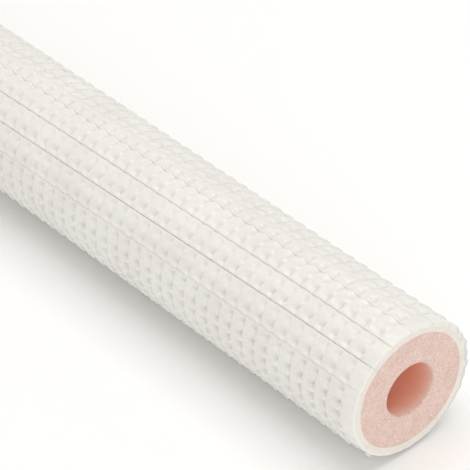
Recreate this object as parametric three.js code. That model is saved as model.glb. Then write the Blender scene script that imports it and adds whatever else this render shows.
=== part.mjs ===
// Pipe insulation lagging, one straight stock length.
// Millimetres, +Z up. The tube lies along X with its axis through the origin, and the origin is at mid length.

import * as THREE from 'three';

// Stock length and the foam tube.
const LENGTH = 1000;
const BORE_DIAMETER = 17; // slips over a 16 mm hot-water pipe
const FOAM_WALL = 10;
const ROUND_SEGMENTS = 72; // sides of each plain circle

// The white jacket round the foam.
const LAYER_GAP = 0.3; // clearance between the foam and the jacket
const JACKET_BACKING = 2.4; // thickness under the embossed rows
const EMBOSS_HEIGHT = 1.1; // from the backing to the top of a row
const CREASE_COUNT = 17; // sharp folds along the whole length, one of them exactly on top
const CREASE_DEPTH = 0.6; // below the backing's outside

// One strip of the jacket, from one crease to the next. A strip bulges steeply out of its creases and
// carries two embossed rows. Each entry is [share of the strip's width, share of the emboss height].
const STRIP_PROFILE = [
  [0.02, 0.3],
  [0.06, 0.72],
  [0.13, 0.94],
  [0.22, 1.0],
  [0.36, 0.94],
  [0.5, 0.88],
  [0.64, 0.94],
  [0.78, 1.0],
  [0.87, 0.94],
  [0.94, 0.72],
  [0.98, 0.3],
];

const boreRadius = BORE_DIAMETER / 2;
const foamRadius = boreRadius + FOAM_WALL;
const jacketInnerRadius = foamRadius + LAYER_GAP;
const backingRadius = jacketInnerRadius + JACKET_BACKING;

// A point of the section: `turn` is in radians from straight up, counter-clockwise.
function sectionPoint(radius, turn) {
  return new THREE.Vector2(-radius * Math.sin(turn), radius * Math.cos(turn));
}

function circlePoints(radius) {
  const points = [];
  for (let i = 0; i < ROUND_SEGMENTS; i += 1) {
    points.push(sectionPoint(radius, (2 * Math.PI * i) / ROUND_SEGMENTS));
  }
  return points;
}

// The jacket's outline: a V-shaped crease, then a strip's two rows, all the way round.
function jacketOutline() {
  const points = [];
  const stripTurn = (2 * Math.PI) / CREASE_COUNT;
  for (let strip = 0; strip < CREASE_COUNT; strip += 1) {
    const start = strip * stripTurn;
    points.push(sectionPoint(backingRadius - CREASE_DEPTH, start));
    for (const [across, height] of STRIP_PROFILE) {
      points.push(sectionPoint(backingRadius + height * EMBOSS_HEIGHT, start + across * stripTurn));
    }
  }
  return points;
}

// A hollow section swept along the whole length, laid along X with the section's up along +Z.
function sweptTube(outline, hollow) {
  const shape = new THREE.Shape(outline);
  shape.holes.push(new THREE.Path(hollow));
  const geometry = new THREE.ExtrudeGeometry(shape, { depth: LENGTH, steps: 1, bevelEnabled: false });
  geometry.translate(0, 0, -LENGTH / 2);
  const layAlongX = new THREE.Matrix4().makeBasis(
    new THREE.Vector3(0, 1, 0),
    new THREE.Vector3(0, 0, 1),
    new THREE.Vector3(1, 0, 0),
  );
  geometry.applyMatrix4(layAlongX);
  return geometry;
}

function namedMesh(name, geometry, color, roughness) {
  const material = new THREE.MeshStandardMaterial({ color, roughness });
  const mesh = new THREE.Mesh(geometry, material);
  mesh.name = name;
  return mesh;
}

const lagging = new THREE.Group();
lagging.name = 'pipe_insulation_lagging';

lagging.add(
  namedMesh('foam_tube', sweptTube(circlePoints(foamRadius), circlePoints(boreRadius)), 0xe6bcae, 0.9),
);

lagging.add(
  namedMesh('embossed_jacket', sweptTube(jacketOutline(), circlePoints(jacketInnerRadius)), 0xeeebe6, 0.35),
);

export default lagging;
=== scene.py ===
"""Looks of the pipe insulation lagging: a pink foam tube in a white embossed jacket.

Metres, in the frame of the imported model: the tube's axis is X, the end nearest the camera is at +X.
Angles round the tube run from the top towards -Y.
"""
import math

import bpy
import numpy as np
from mathutils import Matrix, Vector, noise


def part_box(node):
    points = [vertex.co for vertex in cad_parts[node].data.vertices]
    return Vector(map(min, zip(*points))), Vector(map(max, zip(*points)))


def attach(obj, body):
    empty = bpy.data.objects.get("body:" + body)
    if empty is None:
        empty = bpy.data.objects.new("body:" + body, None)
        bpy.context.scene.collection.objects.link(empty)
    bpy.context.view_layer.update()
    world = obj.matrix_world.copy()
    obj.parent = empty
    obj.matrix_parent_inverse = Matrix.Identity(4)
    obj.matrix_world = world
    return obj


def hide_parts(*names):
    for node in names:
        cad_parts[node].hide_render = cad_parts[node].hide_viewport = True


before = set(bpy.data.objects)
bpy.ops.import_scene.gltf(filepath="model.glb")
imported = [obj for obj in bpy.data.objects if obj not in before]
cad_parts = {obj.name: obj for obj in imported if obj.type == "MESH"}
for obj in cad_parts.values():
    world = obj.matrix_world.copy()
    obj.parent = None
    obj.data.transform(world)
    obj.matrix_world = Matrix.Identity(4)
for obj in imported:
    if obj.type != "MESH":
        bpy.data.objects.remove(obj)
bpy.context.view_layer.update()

MM = 0.001

# Sizes taken from the solids
_, foam_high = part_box("foam_tube")
jacket_low, jacket_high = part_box("embossed_jacket")
HALF_LENGTH = jacket_high[0]
FOAM_RADIUS = foam_high[2]
CROWN_RADIUS = jacket_high[1]
FLOOR_Z = jacket_low[2]

# Sizes across the tube that the boxes do not give. The layers almost meet, where a gap parts the solids.
BORE_RADIUS = 8.5 * MM
LAYER_GAP = 0.02 * MM
JACKET_INNER_RADIUS = FOAM_RADIUS + 0.05 * MM
FOAM_OUTER_RADIUS = JACKET_INNER_RADIUS - LAYER_GAP
BAND_RADIUS = 20.1 * MM  # where the cream backing meets the outer band on a cut end

# Cut ends
EDGE_ROUNDING = 0.25 * MM
ROUNDING_MIDDLE = 0.3 * EDGE_ROUNDING  # distance of the rounding's middle from each face that it joins
EDGE_CLEARANCE = 1.2 * EDGE_ROUNDING  # distance from the end plane that the embossing keeps
GROOVE_DEPTH = 0.1 * MM  # of the groove between the band and the backing
GROOVE_HALF_WIDTH = 0.12 * MM
INNER_BEVEL = 0.1 * MM
SQUASH = 0.02  # share by which the knife leaves the cut ends wider than round, and lower
SQUASH_REACH = 25 * MM

# Pattern of the jacket
CREASE_COUNT = 17
BUMP_ROWS = 2 * CREASE_COUNT  # one along the middle of each strip and one along each crease
BUMPS_ALONG = 191
PITCH = 2 * HALF_LENGTH / BUMPS_ALONG
FIRST_CREASE = -0.07  # angle of the first crease at the near end
WINDING = 0.92  # angle by which the creases wind round the tube, per metre from the near end
FIRST_STRIP = 2  # strip at which the first piece of the jacket starts
STRIP_GROUPS = (4, 4, 3, 2, 4)  # strips in each piece of the jacket

# Creases, from the first one towards -Y. Each has its opening at the crests of the bumps, where 1 stands for
# the depth given here, the share by which it closes midway between them, and the breadth of its steps in
# strips.
CREASE_DEPTH = 0.85 * MM
CREASE_OPENING = np.array(
    [1.35, 1.0, 0.85, 0.2, 0.0, 0.0, 0.0, 0.1, 0.3, 0.5, 0.6, 0.5, 0.6, 0.7, 0.7, 0.8, 0.8]
)
CREASE_CLOSING = np.array([1.25, 0.35, 0.45, 0.3, 0.0, 0.0, 0.0] + [1.0] * 9 + [1.1])
CREASE_SWING = np.array([0.13, 0.02, 0.02] + [0.0] * 13 + [0.1])
CREASE_REACH = 0.001  # distance in strips from a crease within which the film is folded in
SWING_BREAK = 0.55  # where one step ends and the next begins, in bumps past a crest

# Relief
EMBOSS_HEIGHT = 1.1 * MM
CREST_HEIGHT = 0.64 * MM  # part of the embossing's height by which the bumps stand over the ribs
PIT_DEPTH = 0.82 * MM
PIT_ROW = 0.24  # distance of the pits from the creases, in strips
SOFT_RIB = 0.8  # height of a rib along a closed crease, as a share of its full height
SPLIT_LOSS = 0.45  # share of its height that a bump loses where an open crease splits it
PIT_SKEW = 0.3  # share by which the pits on the two sides of an open crease are shallower and deeper
PRESS_MEAN = 1.05  # strength with which the relief is pressed
PRESS_SPREAD = 0.3
PRESS_STRIP = 5.3  # strip where it is strongest, as it is on the opposite side

# Irregularities
SEED = 11
PATTERN_SHIFT = 0.22  # distance of the bumps from their even places, in bumps
SHIFT_START = 0.5  # distance from a cut end where that shift sets in, in bumps
DRIFT = 0.06  # how far the bumps stray besides, in bumps
DRIFT_LENGTH = 7  # how many bumps lie between the stations of that stray
DRIFT_STATIONS = 60
HEIGHT_MEAN = 0.95  # height of the relief, as a share of the full one
HEIGHT_SPREAD = 0.04
PIT_MEAN = 0.85  # depth of the pits, as a share of the full one
PIT_SPREAD = 0.15

# Change of the relief towards a cut end, over distances that are counted in bumps
PIT_START = 0.55  # where the pits set in
PIT_FADE = 0.2
RELIEF_REACH = 0.85  # how far in the knife has pressed the relief down
RELIEF_LEFT = 0.15  # share of the relief that is left in the end plane
RELIEF_LEFT_BEHIND = 0.8  # share that is left besides on the side away from the camera
END_PULL = 1.4 * MM  # how far the film is drawn in there in the end plane
PULL_REACH = 0.05
END_RISE = 0.3 * MM  # how far it stands up there behind the end plane
RISE_REACH = 2

# Shred of film at the near end. It grows from its root out to its free edge.
FLAKE_ANGLE = math.radians(136)
FLAKE_LEAN = 0.05  # angle between its root and its free edge
FLAKE_WAVE = 0.02  # by how much that angle grows and shrinks along the shred
FLAKE_WAVE_TURN = 5.0  # angle of the wave that runs along it
FLAKE_HALF_THICKNESS = 0.07 * MM
FLAKE_ROOT = 0.9 * MM  # depth of its root under the crowns
FLAKE_RISE = 1.6 * MM
FLAKE_CURL = 1.5  # power by which it turns away from the tube
FLAKE_START = 1.6 * MM  # distance of its root from the end plane
FLAKE_LENGTH = 2.1 * MM
FLAKE_SLANT = 0.4 * MM  # by which its free edge lies nearer the end plane
FLAKE_ROWS = 5
FLAKE_COLUMNS = 8

# Camera, as an azimuth and elevation round a point of the axis near the cut end
CAMERA_AZIMUTH = math.radians(52.81)
CAMERA_ELEVATION = math.radians(38.5)
CAMERA_ROLL = math.radians(-5.08)
CAMERA_DISTANCE = 0.8543
CAMERA_AIM = Vector((HALF_LENGTH - 0.08307, 0.00623, 0.00535))
CAMERA_LENS = 219.4
CAMERA_CLIP = 0.01
SENSOR_WIDTH = 36.0

# Studio
WARM_WHITE = (1.0, 0.985, 0.96)
STUDIO_WHITE = (1.0, 0.985, 0.965)
WORLD_STRENGTH = 0.575
FLOOR_REACH = 6.0
LIGHT_AIM = Vector((HALF_LENGTH - 0.1, 0.0, 0.0))
# Name, direction from the aim, distance, size, power and colour of each light
LIGHTS = (
    ("key", (0.0, 0.13, 0.93), 1.5, 1.3, 10.5, WARM_WHITE),
    ("rim", (-0.95, -0.25, 0.22), 1.5, 0.3, 2.0, WARM_WHITE),
    ("back", (0.1, 0.85, 0.45), 1.6, 1.0, 1.3, STUDIO_WHITE),
    ("front", (1.0, -0.42, 0.38), 1.8, 1.2, 7.3, STUDIO_WHITE),
)


# Camera, light and floor

def add_camera():
    back = Vector(
        (
            math.sin(CAMERA_AZIMUTH) * math.cos(CAMERA_ELEVATION),
            -math.cos(CAMERA_AZIMUTH) * math.cos(CAMERA_ELEVATION),
            math.sin(CAMERA_ELEVATION),
        )
    )
    data = bpy.data.cameras.new("camera")
    data.lens = CAMERA_LENS
    data.sensor_width = SENSOR_WIDTH
    data.clip_start = CAMERA_CLIP
    camera = bpy.data.objects.new("camera", data)
    turn = back.to_track_quat("Z", "Y").to_matrix().to_4x4() @ Matrix.Rotation(CAMERA_ROLL, 4, "Z")
    camera.matrix_world = Matrix.Translation(CAMERA_AIM + back * CAMERA_DISTANCE) @ turn
    bpy.context.collection.objects.link(camera)
    bpy.context.scene.camera = camera


def add_area_light(name, direction, distance, size, power, color):
    data = bpy.data.lights.new(name, "AREA")
    data.size = size
    data.energy = power
    data.color = color
    light = bpy.data.objects.new(name, data)
    towards = Vector(direction).normalized()
    turn = towards.to_track_quat("Z", "Y").to_matrix().to_4x4()
    light.matrix_world = Matrix.Translation(LIGHT_AIM + towards * distance) @ turn
    bpy.context.collection.objects.link(light)


def add_studio():
    world = bpy.data.worlds.new("studio")
    world.use_nodes = True
    background = world.node_tree.nodes["Background"]
    background.inputs["Color"].default_value = (*STUDIO_WHITE, 1.0)
    background.inputs["Strength"].default_value = WORLD_STRENGTH
    scene = bpy.context.scene
    scene.world = world
    scene.view_settings.view_transform = "Standard"
    for light in LIGHTS:
        add_area_light(*light)


def add_floor():
    sides = ((-1, -1), (1, -1), (1, 1), (-1, 1))
    corners = [(FLOOR_REACH * x, FLOOR_REACH * y, FLOOR_Z) for x, y in sides]
    mesh = bpy.data.meshes.new("floor")
    mesh.from_pydata(corners, [], [(0, 1, 2, 3)])
    mesh.materials.append(floor_material())
    floor = bpy.data.objects.new("floor", mesh)
    bpy.context.collection.objects.link(floor)


# Materials

BLACK = (0.0, 0.0, 0.0)
WHITE = (1.0, 1.0, 1.0)


class NodeMaterial:
    """A material whose colour and bump come from procedural nodes in object coordinates."""

    def __init__(self, name, constants):
        self.material = bpy.data.materials.new(name)
        self.material.use_nodes = True
        self.tree = self.material.node_tree
        self.shader = self.tree.nodes["Principled BSDF"]
        self.place = self.node("ShaderNodeTexCoord").outputs["Object"]
        for socket, value in constants.items():
            self.shader.inputs[socket].default_value = value

    def node(self, kind, **settings):
        node = self.tree.nodes.new(kind)
        for key, value in settings.items():
            setattr(node, key, value)
        return node

    def link(self, source, target):
        self.tree.links.new(source, target)

    def color(self, source):
        self.link(source, self.shader.inputs["Base Color"])

    def noise(self, scale, detail=3.0):
        node = self.node("ShaderNodeTexNoise")
        node.inputs["Scale"].default_value = scale
        node.inputs["Detail"].default_value = detail
        self.link(self.place, node.inputs["Vector"])
        return node.outputs["Fac"]

    def cells(self, scale):
        """Distance from the middle of the nearest cell."""
        node = self.node("ShaderNodeTexVoronoi")
        node.inputs["Scale"].default_value = scale
        self.link(self.place, node.inputs["Vector"])
        return node.outputs["Distance"]

    def openness(self, reach):
        """Share of the sky seen from a point, within a short reach: low in pits and creases."""
        node = self.node("ShaderNodeAmbientOcclusion", samples=8, only_local=False)
        node.inputs["Distance"].default_value = reach
        return node.outputs["AO"]

    def from_middle(self):
        """Distance from the middle of the tube, along its axis."""
        split = self.node("ShaderNodeSeparateXYZ")
        self.link(self.place, split.inputs["Vector"])
        node = self.node("ShaderNodeMath", operation="ABSOLUTE")
        self.link(split.outputs["X"], node.inputs[0])
        return node.outputs[0]

    def ramp(self, factor, low_color, high_color, low=0.3, high=0.7):
        node = self.node("ShaderNodeValToRGB")
        stops = ((low, low_color), (high, high_color))
        for element, (position, color) in zip(node.color_ramp.elements, stops):
            element.position = position
            element.color = (*color, 1.0)
        self.link(factor, node.inputs["Fac"])
        return node.outputs["Color"]

    def mix_sockets(self, blend_type):
        """Sockets, by name, of a node that mixes two colours."""
        node = self.node("ShaderNodeMix", data_type="RGBA", blend_type=blend_type)
        return {socket.name: socket for socket in (*node.inputs, *node.outputs) if socket.enabled}

    def multiply(self, first, second):
        sockets = self.mix_sockets("MULTIPLY")
        sockets["Factor"].default_value = 1.0
        self.link(first, sockets["A"])
        self.link(second, sockets["B"])
        return sockets["Result"]

    def tint(self, factor, source, color):
        """A constant colour where the factor is 1, and the source where it is 0."""
        sockets = self.mix_sockets("MIX")
        self.link(factor, sockets["Factor"])
        self.link(source, sockets["A"])
        sockets["B"].default_value = (*color, 1.0)
        return sockets["Result"]

    def bump(self, *layers):
        """Layers are (height, depth in metres), finest first."""
        normal = None
        for height, depth in layers:
            node = self.node("ShaderNodeBump")
            node.inputs["Strength"].default_value = 1.0
            node.inputs["Distance"].default_value = depth
            self.link(height, node.inputs["Height"])
            if normal is not None:
                self.link(normal, node.inputs["Normal"])
            normal = node.outputs["Normal"]
        self.link(normal, self.shader.inputs["Normal"])


def translucent(weight, tints, depth):
    """Constants for a surface that light sinks into, by the depth it reaches."""
    return {"Subsurface Weight": weight, "Subsurface Radius": tints, "Subsurface Scale": depth}


def floor_material():
    material = NodeMaterial("floor_paper", {"Roughness": 0.9})
    tone = material.noise(3.0, detail=2.0)
    material.color(material.ramp(tone, (0.965, 0.965, 0.965), (0.975, 0.975, 0.975)))
    return material.material


def film_material():
    """Embossed film: warm white and slightly glossy, with fine wrinkles, and with painted shade that darkens
    and warms its pits and creases.
    """
    sheen = {"Roughness": 0.27, "Specular IOR Level": 0.55}
    material = NodeMaterial("embossed_film", {**sheen, **translucent(0.3, (1.0, 0.95, 0.85), 0.8 * MM)})
    patches = material.ramp(material.noise(70.0, detail=4.0), (0.85, 0.832, 0.795), (0.89, 0.877, 0.84))
    mottle = material.ramp(material.noise(900.0), (0.95, 0.95, 0.95), WHITE)
    # Painted shade: the colour turns darker and warmer where little sky is seen, in the pits and creases.
    painted_recess_shade = material.ramp(material.openness(1.2 * MM), (0.89, 0.73, 0.66), WHITE, 0.2, 0.8)
    material.color(material.multiply(material.multiply(patches, mottle), painted_recess_shade))
    material.bump((material.noise(2600.0, detail=2.0), 0.03 * MM), (material.noise(700.0), 0.1 * MM))
    return material.material


def cut_layer_material(name, roughness, tints, low_color, high_color, grain_depth):
    """A layer of the jacket where it is cut, with a fine grain."""
    material = NodeMaterial(name, {"Roughness": roughness, **translucent(0.5, tints, 1.2 * MM)})
    material.color(material.ramp(material.noise(1500.0), low_color, high_color))
    material.bump((material.noise(2200.0), grain_depth))
    return material.material


def cut_film_material():
    """The dense outer band of the jacket where it is cut."""
    return cut_layer_material(
        "jacket_cut_outer",
        roughness=0.55,
        tints=(1.0, 0.97, 0.9),
        low_color=(0.81, 0.79, 0.745),
        high_color=(0.855, 0.835, 0.795),
        grain_depth=0.06 * MM,
    )


def cut_backing_material():
    """The cream foam backing of the jacket where it is cut."""
    return cut_layer_material(
        "jacket_cut_inner",
        roughness=0.8,
        tints=(1.0, 0.9, 0.8),
        low_color=(0.82, 0.76, 0.685),
        high_color=(0.87, 0.82, 0.75),
        grain_depth=0.12 * MM,
    )


def cut_foam_material():
    """The pink foam where it is cut: small cells with paler walls and a few bright specks."""
    material = NodeMaterial("foam_cut", {"Roughness": 0.85, **translucent(0.15, (1.0, 0.6, 0.5), 0.6 * MM)})
    tone = material.ramp(material.noise(160.0), (0.785, 0.585, 0.525), (0.84, 0.65, 0.59))
    from_cell = material.cells(1700.0)
    cells = material.ramp(from_cell, (0.84, 0.78, 0.76), WHITE, 0.15, 0.6)
    blotches = material.ramp(material.noise(420.0), (0.955, 0.945, 0.94), WHITE, 0.35, 0.65)
    specks = material.ramp(material.noise(1000.0, detail=1.0), BLACK, WHITE, 0.67, 0.75)
    tone = material.multiply(material.multiply(tone, cells), blotches)
    material.color(material.tint(specks, tone, (0.95, 0.86, 0.80)))
    material.bump((from_cell, 0.12 * MM), (material.noise(500.0), 0.2 * MM))
    return material.material


def foam_skin_material():
    """The moulded skin of the bore: denser and redder than the cut foam, and paler close to the cut ends."""
    material = NodeMaterial("foam_skin", {"Roughness": 0.55, **translucent(0.15, (1.0, 0.5, 0.4), 0.8 * MM)})
    tone = material.ramp(material.noise(120.0, detail=4.0), (0.985, 0.475, 0.34), (0.995, 0.545, 0.41))
    pale_from = HALF_LENGTH - 6 * MM
    pale_to = HALF_LENGTH - 0.5 * MM
    mouth = material.ramp(material.from_middle(), BLACK, WHITE, pale_from, pale_to)
    material.color(material.tint(mouth, tone, (0.95, 0.68, 0.59)))
    material.bump((material.noise(900.0), 0.08 * MM))
    return material.material


# Shapes in general

def on_tube(x, radius, angle):
    """Points by their place along the axis, radius and angle, with the coordinates as the last dimension."""
    return np.stack(np.broadcast_arrays(x, -radius * np.sin(angle), radius * np.cos(angle)), axis=-1)


def squash_ends(points):
    """Presses the cut ends slightly oval. The last dimension of the points is their coordinates."""
    from_end = HALF_LENGTH - np.abs(points[..., 0])
    press = SQUASH * np.exp(-((from_end / SQUASH_REACH) ** 2))
    points[..., 1] *= 1 + press
    points[..., 2] *= 1 - press
    return points


def new_mesh(name, points, faces, materials, slots, smooth):
    """A mesh in which each face has a material slot and is smooth or flat."""
    mesh = bpy.data.meshes.new(name)
    mesh.from_pydata(points.reshape(-1, 3).tolist(), [], faces)
    mesh.polygons.foreach_set("material_index", np.asarray(slots, np.int32))
    mesh.polygons.foreach_set("use_smooth", np.asarray(smooth, bool))
    for material in materials:
        mesh.materials.append(material)
    mesh.validate()
    mesh.update()
    return mesh


def grid_faces(index):
    """Faces between the neighbouring rows and columns of a grid of vertex indices."""
    corners = (index[:-1, :-1], index[:-1, 1:], index[1:, 1:], index[1:, :-1])
    return np.stack(corners, axis=-1).reshape(-1, 4)


def ease(share):
    """A share from 0 to 1 that starts and ends gently."""
    return share * share * (3 - 2 * share)


def smooth_noise(generator, shape, along, around):
    """Values from -1 to 1 that change smoothly over a grid, which closes on itself round the tube.

    The places along and around are counted in cells of the grid.
    """
    grid = generator.uniform(-1.0, 1.0, shape)
    row = np.floor(along).astype(int)
    column = np.floor(around).astype(int)
    u = ease(along - row)
    v = ease(around - column)
    row, next_row = row % shape[0], (row + 1) % shape[0]
    column, next_column = column % shape[1], (column + 1) % shape[1]
    near = grid[row, column] * (1 - v) + grid[row, next_column] * v
    far = grid[next_row, column] * (1 - v) + grid[next_row, next_column] * v
    return near * (1 - u) + far * u


# Surface of the jacket

# Stations past the crest of a bump: the distance in bumps, the height of the bump, the depth of the pits and
# their breadth in strips. A bump rises slowly towards the near end and stops short there. The pits lie
# beside its highest part.
ALONG, BUMP_PROFILE, PIT_PROFILE, PIT_BREADTH = np.array(
    [
        (0.0, 1.0, 1.0, 0.15),
        (0.07, 0.95, 0.96, 0.145),
        (0.17, 0.82, 0.8, 0.13),
        (0.31, 0.6, 0.52, 0.11),
        (0.5, 0.34, 0.22, 0.09),
        (0.72, 0.12, -0.05, 0.085),
        (0.9, 0.0, -0.32, 0.13),
        (0.955, 0.45, 0.3, 0.15),
    ]
).T

# Stations across a strip, closer together beside the creases and at the pits
ACROSS = np.array([0.0, 0.01, 0.06, 0.13, 0.19, 0.26, 0.34, 0.45, 0.55, 0.66, 0.74, 0.81, 0.87, 0.94, 0.99])


def at_station(profile, past_crest):
    """Value of a profile past a crest. It comes back to its first value at the next crest."""
    return np.interp(past_crest, np.append(ALONG, 1), np.append(profile, profile[0]))


def crease_opening(crease, past_crest):
    """How far a crease stands open, where 1 stands for the usual depth: most at the crests."""
    closing = CREASE_CLOSING[crease] * np.sin(math.pi * past_crest) ** 2
    return CREASE_OPENING[crease] * (1 - closing).clip(0, 1)


def rib_height(from_crease, opening):
    """Height of the rounded rib on a strip, from 0 to 1. It falls straight into creases that are open."""
    arc = np.sqrt(1 - (1 - 2 * from_crease) ** 2)
    soft = SOFT_RIB + (1 - SOFT_RIB) * np.sin(math.pi * from_crease) ** 2
    return opening * arc + (1 - opening) * soft


def bump_height(past_crest, across, from_crease, opening):
    """Height of the bumps over a rib, from 0 to 1: one row along its middle and one split by the crease."""
    split = np.where(from_crease < PIT_ROW, 1 - SPLIT_LOSS * opening, 1)
    return at_station(BUMP_PROFILE, past_crest) * np.cos(2 * math.pi * across) ** 2 * split


def pit_depth(past_crest, across, from_crease, opening):
    """Depth of the pits between the two rows of bumps, as a share of the full one."""
    breadth = at_station(PIT_BREADTH, past_crest)
    pit = at_station(PIT_PROFILE, past_crest) * np.exp(-(((from_crease - PIT_ROW) / breadth) ** 2))
    return pit * (1 - PIT_SKEW * opening * np.sin(2 * math.pi * across))


def end_relief(strips, from_end):
    """Share of the relief that the knife has left, and how far it has drawn the film in."""
    turn = strips / CREASE_COUNT + 0.25  # in turns from +Y, the side away from the camera at the near end
    behind = (0.5 + 0.5 * np.cos(2 * math.pi * turn)) ** 2
    left = RELIEF_LEFT + RELIEF_LEFT_BEHIND * behind
    kept = left + (1 - left) * ease(np.clip(from_end / RELIEF_REACH, 0, 1))
    pull = END_PULL * np.exp(-((from_end / PULL_REACH) ** 2)) - END_RISE * np.exp(-from_end / RISE_REACH)
    return kept, pull * behind


def embossed_surface(steps, strips):
    """Place along the tube, radius and sideways shift in strips of the embossed surface.

    Rows are steps, counted in bumps from the near end. Columns are strips, counted from the first crease.
    """
    steps = steps[:, None]
    strips = strips[None, :]
    across = strips % 1
    from_crease = np.minimum(across, 1 - across)
    from_end = np.minimum(steps, BUMPS_ALONG - steps)
    past_crest = steps % 1
    crease = np.round(strips).astype(int) % CREASE_COUNT
    opening = crease_opening(crease, past_crest)

    generator = np.random.default_rng(SEED)
    stray = smooth_noise(generator, (DRIFT_STATIONS, BUMP_ROWS), steps / DRIFT_LENGTH, strips * 2)
    size = smooth_noise(generator, (BUMPS_ALONG, BUMP_ROWS), steps, strips * 2)
    depth = smooth_noise(generator, (BUMPS_ALONG, BUMP_ROWS), steps + 0.5, strips * 2 + 0.5)

    press = PRESS_MEAN + PRESS_SPREAD * np.cos(4 * math.pi * (strips - PRESS_STRIP) / CREASE_COUNT)
    rib = (EMBOSS_HEIGHT - CREST_HEIGHT) * rib_height(from_crease, opening)
    bump = CREST_HEIGHT * (bump_height(past_crest, across, from_crease, opening) * press).clip(0, 1)
    pit = PIT_DEPTH * pit_depth(past_crest, across, from_crease, opening) * press
    pit = pit * (PIT_MEAN + PIT_SPREAD * depth) * np.clip((from_end - PIT_START) / PIT_FADE, 0, 1)
    fold = CREASE_DEPTH * opening * (from_crease < CREASE_REACH)
    height = (rib + bump) * (HEIGHT_MEAN + HEIGHT_SPREAD * size) - pit - fold

    kept, pull = end_relief(strips, from_end)
    radius = CROWN_RADIUS - EMBOSS_HEIGHT + height * kept - pull
    shift = (PATTERN_SHIFT + DRIFT * stray) * np.clip(from_end - SHIFT_START, 0, 1)
    x = HALF_LENGTH - (steps + shift) * PITCH
    swing = CREASE_SWING[crease] * (0.5 - (past_crest - SWING_BREAK) % 1)
    swing = swing * (1 - 2 * from_crease) * (from_end > 1)
    return x, radius, swing


# Pieces of the jacket

FILM, OUTER_BAND, BACKING = 0, 1, 2  # material slots of the jacket
INNER_ROWS = 19
INNER_REACH = HALF_LENGTH - 20 * MM  # distance of the outermost of them from the middle
TURNED_OVER = [0, 3, 2, 1]  # corners of a face in the order that turns it over


def jacket_steps():
    """Stations along the tube where the embossed surface is sampled, in bumps from the near end."""
    steps = (np.arange(BUMPS_ALONG)[:, None] + ALONG[None, :]).ravel()
    margin = EDGE_CLEARANCE / PITCH
    return steps[(steps > margin) & (steps < BUMPS_ALONG - margin)]


def end_profile(outer):
    """The cut end from the outer edge to the inner edge, as (distance from the end plane, radius, slot)."""
    flat = np.ones_like(outer)
    return [
        (EDGE_ROUNDING, outer, FILM),
        (ROUNDING_MIDDLE, outer - ROUNDING_MIDDLE, FILM),
        (0.0, outer - EDGE_ROUNDING, OUTER_BAND),
        (0.0, (BAND_RADIUS + GROOVE_HALF_WIDTH) * flat, OUTER_BAND),
        (GROOVE_DEPTH, BAND_RADIUS * flat, OUTER_BAND),
        (0.0, (BAND_RADIUS - GROOVE_HALF_WIDTH) * flat, BACKING),
        (0.0, 0.5 * (BAND_RADIUS + JACKET_INNER_RADIUS) * flat, BACKING),
        (0.0, (JACKET_INNER_RADIUS + INNER_BEVEL) * flat, BACKING),
        (INNER_BEVEL, JACKET_INNER_RADIUS * flat, BACKING),
    ]


def jacket_rows(strips):
    """Rows of (places along the tube, radii, sideways shifts), and the slot of the faces after each row.

    They run from the near end's inner edge out, along the outside, over the far end and back inside.
    """
    flat = np.ones_like(strips)
    still = np.zeros_like(strips)
    _, end_radius, _ = embossed_surface(np.array([0.0, BUMPS_ALONG]), strips)
    near, far = map(end_profile, end_radius)
    steps = jacket_steps()
    inside = np.linspace(-INNER_REACH, INNER_REACH, INNER_ROWS)
    rows = [((HALF_LENGTH - gap) * flat, radius, still) for gap, radius, _ in reversed(near)]
    rows += zip(*embossed_surface(steps, strips))
    rows += [((gap - HALF_LENGTH) * flat, radius, still) for gap, radius, _ in far]
    rows += [(x * flat, JACKET_INNER_RADIUS * flat, still) for x in inside]
    slots = [slot for _, _, slot in reversed(near[:-1])]
    slots += [FILM] * (1 + len(steps))
    slots += [slot for _, _, slot in far]
    slots += [BACKING] * INNER_ROWS
    return rows, slots


def side_wall(x, column):
    """Triangles that close one side of a piece, by the place along the tube and the index of each row there.

    They are laid while going along the outside and the inside together, each time on the side left behind.
    """
    split = len(column) - INNER_ROWS
    outside = range(split)
    inside = range(len(column) - 1, split - 1, -1)
    triangles = []
    i = 0
    j = 0
    while i + 1 < len(outside) or j + 1 < len(inside):
        inside_done = j + 1 == len(inside)
        if inside_done or (i + 1 < len(outside) and x[outside[i + 1]] > x[inside[j + 1]]):
            triangles.append([column[outside[i]], column[outside[i + 1]], column[inside[j]]])
            i += 1
        else:
            triangles.append([column[outside[i]], column[inside[j + 1]], column[inside[j]]])
            j += 1
    return triangles


def add_to_jacket(name, mesh):
    """Adds a mesh as a piece that stands for the solid jacket."""
    piece = bpy.data.objects.new(name, mesh)
    bpy.context.collection.objects.link(piece)
    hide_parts("embossed_jacket")
    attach(piece, "root")


def add_jacket_piece(name, first_strip, strip_count, materials):
    """A piece of the jacket over its whole length, some strips wide."""
    strips = (np.arange(strip_count)[:, None] + ACROSS[None, :]).ravel() + first_strip
    strips = np.append(strips, first_strip + strip_count)
    rows, slots = jacket_rows(strips)
    x, radius, swing = (np.stack(values) for values in zip(*rows))
    angle = (strips + swing) * 2 * math.pi / CREASE_COUNT + FIRST_CREASE + WINDING * (HALF_LENGTH - x)
    points = squash_ends(on_tube(x, radius, angle))

    index = np.arange(x.size).reshape(x.shape)
    closed = np.pad(index, ((0, 1), (0, 0)), mode="wrap")
    quads = grid_faces(closed)[:, TURNED_OVER]
    walls = side_wall(x[:, 0], index[:, 0])
    walls += [triangle[::-1] for triangle in side_wall(x[:, -1], index[:, -1])]
    slots = np.append(np.repeat(slots, len(strips) - 1), [BACKING] * len(walls))
    smooth = [True] * len(quads) + [False] * len(walls)
    add_to_jacket(name, new_mesh(name, points, quads.tolist() + walls, materials, slots, smooth))


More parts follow.
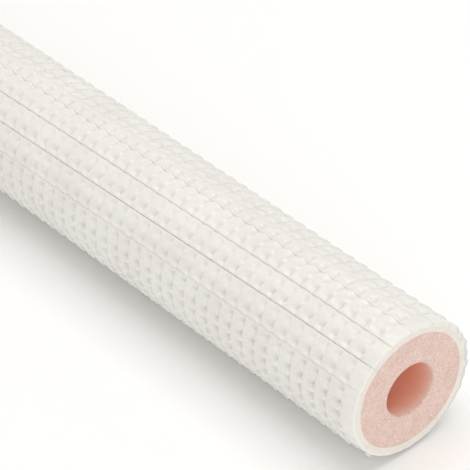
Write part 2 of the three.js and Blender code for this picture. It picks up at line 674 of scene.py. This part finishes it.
def add_film_flake(material):
    """A shred of film that the knife has left at the lower edge of the near end."""
    out = np.linspace(0, 1, FLAKE_ROWS)[:, None]
    along = np.linspace(0, 1, FLAKE_COLUMNS)[None, :]
    x = HALF_LENGTH - (FLAKE_START + FLAKE_LENGTH * along - FLAKE_SLANT * out)
    radius = CROWN_RADIUS - FLAKE_ROOT + FLAKE_RISE * out**FLAKE_CURL
    angle = FLAKE_ANGLE + out * (FLAKE_LEAN + FLAKE_WAVE * np.sin(FLAKE_WAVE_TURN * along))
    points = np.stack([on_tube(x, radius + side * FLAKE_HALF_THICKNESS, angle) for side in (1, -1)])

    index = np.arange(x.size).reshape(x.shape)
    outside = grid_faces(index)
    edge = np.concatenate([index[0], index[1:, -1], index[-1, -2::-1], index[-2:0:-1, 0]])
    following = np.roll(edge, -1)
    rim = np.stack([following, edge, edge + x.size, following + x.size], axis=-1)
    faces = np.concatenate([outside, outside[:, ::-1] + x.size, rim]).tolist()
    slots = [FILM] * len(faces)
    smooth = [True] * len(faces)
    add_to_jacket("film_flake", new_mesh("film_flake", points, faces, [material], slots, smooth))


def add_jacket():
    materials = (film_material(), cut_film_material(), cut_backing_material())
    first = FIRST_STRIP
    for number, count in enumerate(STRIP_GROUPS, start=1):
        add_jacket_piece(f"embossed_jacket_{number}", first, count, materials)
        first += count
    add_film_flake(materials[FILM])


# Foam tube

CUT, SKIN = 0, 1  # material slots of the foam tube
FOAM_COLUMNS = 300
BORE_ROWS = 40
BORE_MARGIN = 4 * MM  # distance from the end plane where they stop
# Rounded edge of the bore, as millimetres from the end plane, millimetres out from the bore, and the slot
MOUTH = (
    (2.5, 0.0, SKIN),
    (1.5, 0.0, SKIN),
    (0.9, 0.03, CUT),
    (0.5, 0.12, CUT),
    (0.2, 0.3, CUT),
    (0.06, 0.5, CUT),
)
FACE_RINGS = 34
FACE_START = BORE_RADIUS + 0.75 * MM
FACE_STOP = FOAM_OUTER_RADIUS - 0.25 * MM
# Outer rim of the cut face, as millimetres from the end plane, millimetres in from the outside, and the slot
RIM = ((0.06, 0.08, CUT), (0.2, 0.0, SKIN))
OUTSIDE_ROWS = 5
OUTSIDE_MARGIN = 5 * MM
CUT_SCALES = (900, 260)  # of the noise that roughens the cut face
CUT_RELIEF = 0.05 * MM
CUT_RECESS = 0.08 * MM  # how far the cut face lies behind the end plane
SKIN_SCALE = 90  # of the noise that makes the skin uneven
SKIN_RELIEF = 0.006  # share of the radius


def foam_profile():
    """Half of a lengthwise section, from the bore's middle out over the cut end: (x, radius, slot)."""
    profile = [(x, BORE_RADIUS, SKIN) for x in np.linspace(0, HALF_LENGTH - BORE_MARGIN, BORE_ROWS)]
    profile += [(HALF_LENGTH - gap * MM, BORE_RADIUS + rise * MM, slot) for gap, rise, slot in MOUTH]
    profile += [(HALF_LENGTH, radius, CUT) for radius in np.linspace(FACE_START, FACE_STOP, FACE_RINGS)]
    profile += [(HALF_LENGTH - gap * MM, FOAM_OUTER_RADIUS - drop * MM, slot) for gap, drop, slot in RIM]
    outside = np.linspace(HALF_LENGTH - OUTSIDE_MARGIN, 0, OUTSIDE_ROWS, endpoint=False)
    return profile + [(x, FOAM_OUTER_RADIUS, SKIN) for x in outside]


def uneven(point, slot):
    """A point of the foam's surface, moved by the roughness of the cut or the unevenness of the skin."""
    place = Vector(point)
    if slot == CUT:
        relief = CUT_RELIEF * sum(noise.noise(place * scale) for scale in CUT_SCALES)
        place.x += math.copysign(1, place.x) * (relief - CUT_RECESS)
    else:
        place.yz = place.yz * (1 + SKIN_RELIEF * noise.noise(place * SKIN_SCALE))
    return place


def add_foam_tube():
    half = foam_profile()
    mirrored = [(-x, radius, slot) for x, radius, slot in reversed(half[1:])]
    x, radius, slots = map(np.array, zip(*half, (0.0, FOAM_OUTER_RADIUS, SKIN), *mirrored))
    angle = np.arange(FOAM_COLUMNS) * 2 * math.pi / FOAM_COLUMNS
    rings = on_tube(x[:, None], radius[:, None], angle[None, :])
    points = np.array([[uneven(point, slot) for point in ring] for ring, slot in zip(rings, slots)])

    index = np.arange(len(x) * FOAM_COLUMNS).reshape(len(x), FOAM_COLUMNS)
    closed = np.pad(index, ((0, 1), (0, 1)), mode="wrap")
    faces = grid_faces(closed).tolist()
    face_slots = np.repeat(np.maximum(slots, np.roll(slots, -1)), FOAM_COLUMNS)
    smooth = [True] * len(faces)
    materials = (cut_foam_material(), foam_skin_material())
    mesh = new_mesh("foam_tube_soft", squash_ends(points), faces, materials, face_slots, smooth)
    piece = bpy.data.objects.new("foam_tube_soft", mesh)
    bpy.context.collection.objects.link(piece)
    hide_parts("foam_tube")
    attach(piece, "root")


add_camera()
add_studio()
add_floor()
add_jacket()
add_foam_tube()
